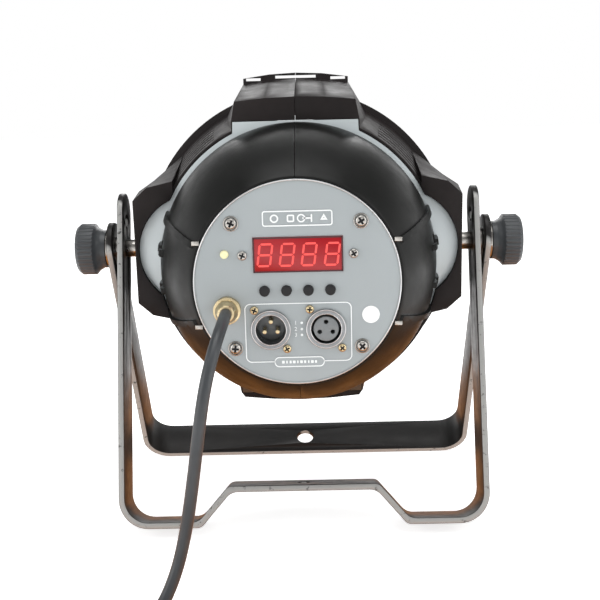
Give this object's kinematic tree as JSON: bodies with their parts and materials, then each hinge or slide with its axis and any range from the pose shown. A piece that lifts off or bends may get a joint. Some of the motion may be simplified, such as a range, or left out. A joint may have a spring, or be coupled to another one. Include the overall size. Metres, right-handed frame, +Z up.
{
  "type": "par can light",
  "caption": "Round stage light with a ribbed black shell and rear control panel, on a floor stand bracket and a hanging bracket clamped by side knobs.",
  "frame": {"origin": "on the floor, at the middle of the outline of the light and its brackets, lead left out", "axes": "+Y along the light beam, away from the control panel; +Z up; +X to the right as seen from the control panel"},
  "size_m": [0.3022, 0.3971, 0.3012],
  "materials": {
    "black_shell": "semi-gloss black moulded plastic",
    "black_dome": "satin black moulded plastic",
    "silver_plate": "light silver-grey paint on sheet",
    "panel_grey": "silver-grey powder coat with white printing",
    "bracket_black": "black powder coat on steel strap, bright worn edges",
    "screw_steel": "zinc-plated steel",
    "screw_brass": "nickel-washed brass",
    "display_red": "red acrylic window",
    "display_body": "black moulded plastic",
    "board_green": "green circuit board",
    "board_white": "white solder mask on aluminium",
    "led_yellow": "phosphor",
    "indicator": "milky pale yellow lens",
    "label_white": "white paper label",
    "connector_metal": "dark nickel plated zinc",
    "connector_black": "dark grey moulded insert",
    "button_caps": "black moulded caps",
    "cord_grey": "dark grey sheathed lead",
    "clear_glass": "clear toughened glass",
    "clear_lens": "clear acrylic lenses",
    "bezel_black": "black painted ring",
    "gasket_rubber": "black sponge rubber",
    "sink_aluminium": "plain extruded aluminium",
    "supply_parts": "wound parts and capacitors",
    "pivot_metal": "zinc-plated steel",
    "knob_black": "black ribbed plastic"
  },
  "bodies": {
    "housing": {"front_shell_left": "black_shell", "front_shell_right": "black_shell", "mid_plate": "silver_plate", "rear_dome_left": "black_dome", "rear_dome_right": "black_dome", "dome_clips": "screw_steel", "rear_panel": "panel_grey", "panel_screws": "screw_steel", "display_screws": "screw_steel", "display_window": "display_red", "indicator_led": "indicator", "round_label": "label_white", "male_connector_shell": "connector_metal", "male_connector_insert": "connector_black", "male_connector_pins": "screw_brass", "female_connector_shell": "connector_metal", "female_connector_insert": "connector_black", "connector_screws": "screw_brass", "cable_gland": "screw_brass", "front_glass": "clear_glass", "front_bezel": "bezel_black", "bezel_screws": "screw_steel", "pivot_insert_left": "pivot_metal", "pivot_insert_right": "pivot_metal", "spacer_left": "pivot_metal", "spacer_right": "pivot_metal", "display_module": "display_body", "control_board": "board_green", "button_switches": "display_body", "gland_lock_nut": "screw_brass", "lens_gasket": "gasket_rubber", "led_lenses": "clear_lens", "led_chips": "led_yellow", "led_board": "board_white", "heat_sink": "sink_aluminium", "heat_sink_posts": "screw_steel", "fan_frame": "display_body", "power_supply_board": "board_green", "power_supply_parts": "supply_parts", "panel_standoffs": "screw_steel", "power_cord": "cord_grey", "cord_coil": "cord_grey", "cord_tail": "cord_grey", "plug_body": "cord_grey", "plug_pins": "screw_brass"},
    "stand": {"stand_bracket": "bracket_black"},
    "hanger": {"hanging_bracket": "bracket_black"},
    "right_washer": {"washer_right": "pivot_metal"},
    "right_knob": {"knob_right": "knob_black", "knob_stud_right": "screw_steel"},
    "left_washer": {"washer_left": "pivot_metal"},
    "left_knob": {"knob_left": "knob_black", "knob_stud_left": "screw_steel"},
    "fan": {"fan_rotor": "display_body"},
    "button_1": {"button_1": "button_caps"},
    "button_2": {"button_2": "button_caps"},
    "button_3": {"button_3": "button_caps"},
    "button_4": {"button_4": "button_caps"}
  },
  "joints": [
    {"name": "stand_tilt", "type": "hinge", "parent": "housing", "child": "stand", "pos_m": [0, 0.00061, 0.1853], "axis": [1, 0, 0], "range_deg": [-35, 190]},
    {"name": "hanger_tilt", "type": "hinge", "parent": "housing", "child": "hanger", "pos_m": [0, 0.00061, 0.1853], "axis": [1, 0, 0], "range_deg": [-60, 170]},
    {"name": "right_knob_slide", "type": "slide", "parent": "housing", "child": "right_washer", "axis": [1, 0, 0], "range_m": [0, 0.0025]},
    {"name": "right_knob_turn", "type": "hinge", "parent": "right_washer", "child": "right_knob", "pos_m": [0, 0.00061, 0.1853], "axis": [1, 0, 0], "range_deg": [0, 720]},
    {"name": "left_knob_slide", "type": "slide", "parent": "housing", "child": "left_washer", "axis": [-1, 0, 0], "range_m": [0, 0.0025]},
    {"name": "left_knob_turn", "type": "hinge", "parent": "left_washer", "child": "left_knob", "pos_m": [0, 0.00061, 0.1853], "axis": [-1, 0, 0], "range_deg": [0, 720]},
    {"name": "button_1_press", "type": "slide", "parent": "housing", "child": "button_1", "axis": [0, 1, 0], "range_m": [0, 0.0006], "stiffness_N_per_m": 800},
    {"name": "button_2_press", "type": "slide", "parent": "housing", "child": "button_2", "axis": [0, 1, 0], "range_m": [0, 0.0006], "stiffness_N_per_m": 800},
    {"name": "button_3_press", "type": "slide", "parent": "housing", "child": "button_3", "axis": [0, 1, 0], "range_m": [0, 0.0006], "stiffness_N_per_m": 800},
    {"name": "button_4_press", "type": "slide", "parent": "housing", "child": "button_4", "axis": [0, 1, 0], "range_m": [0, 0.0006], "stiffness_N_per_m": 800},
    {"name": "fan_spin", "type": "hinge", "parent": "housing", "child": "fan", "pos_m": [0, 0.00061, 0.1773], "axis": [0, 1, 0], "continuous": true}
  ],
  "couplings": [
    {"joint": "right_knob_turn", "follows": "right_knob_slide", "rad_per_m": 5026},
    {"joint": "left_knob_turn", "follows": "left_knob_slide", "rad_per_m": 5026}
  ]
}
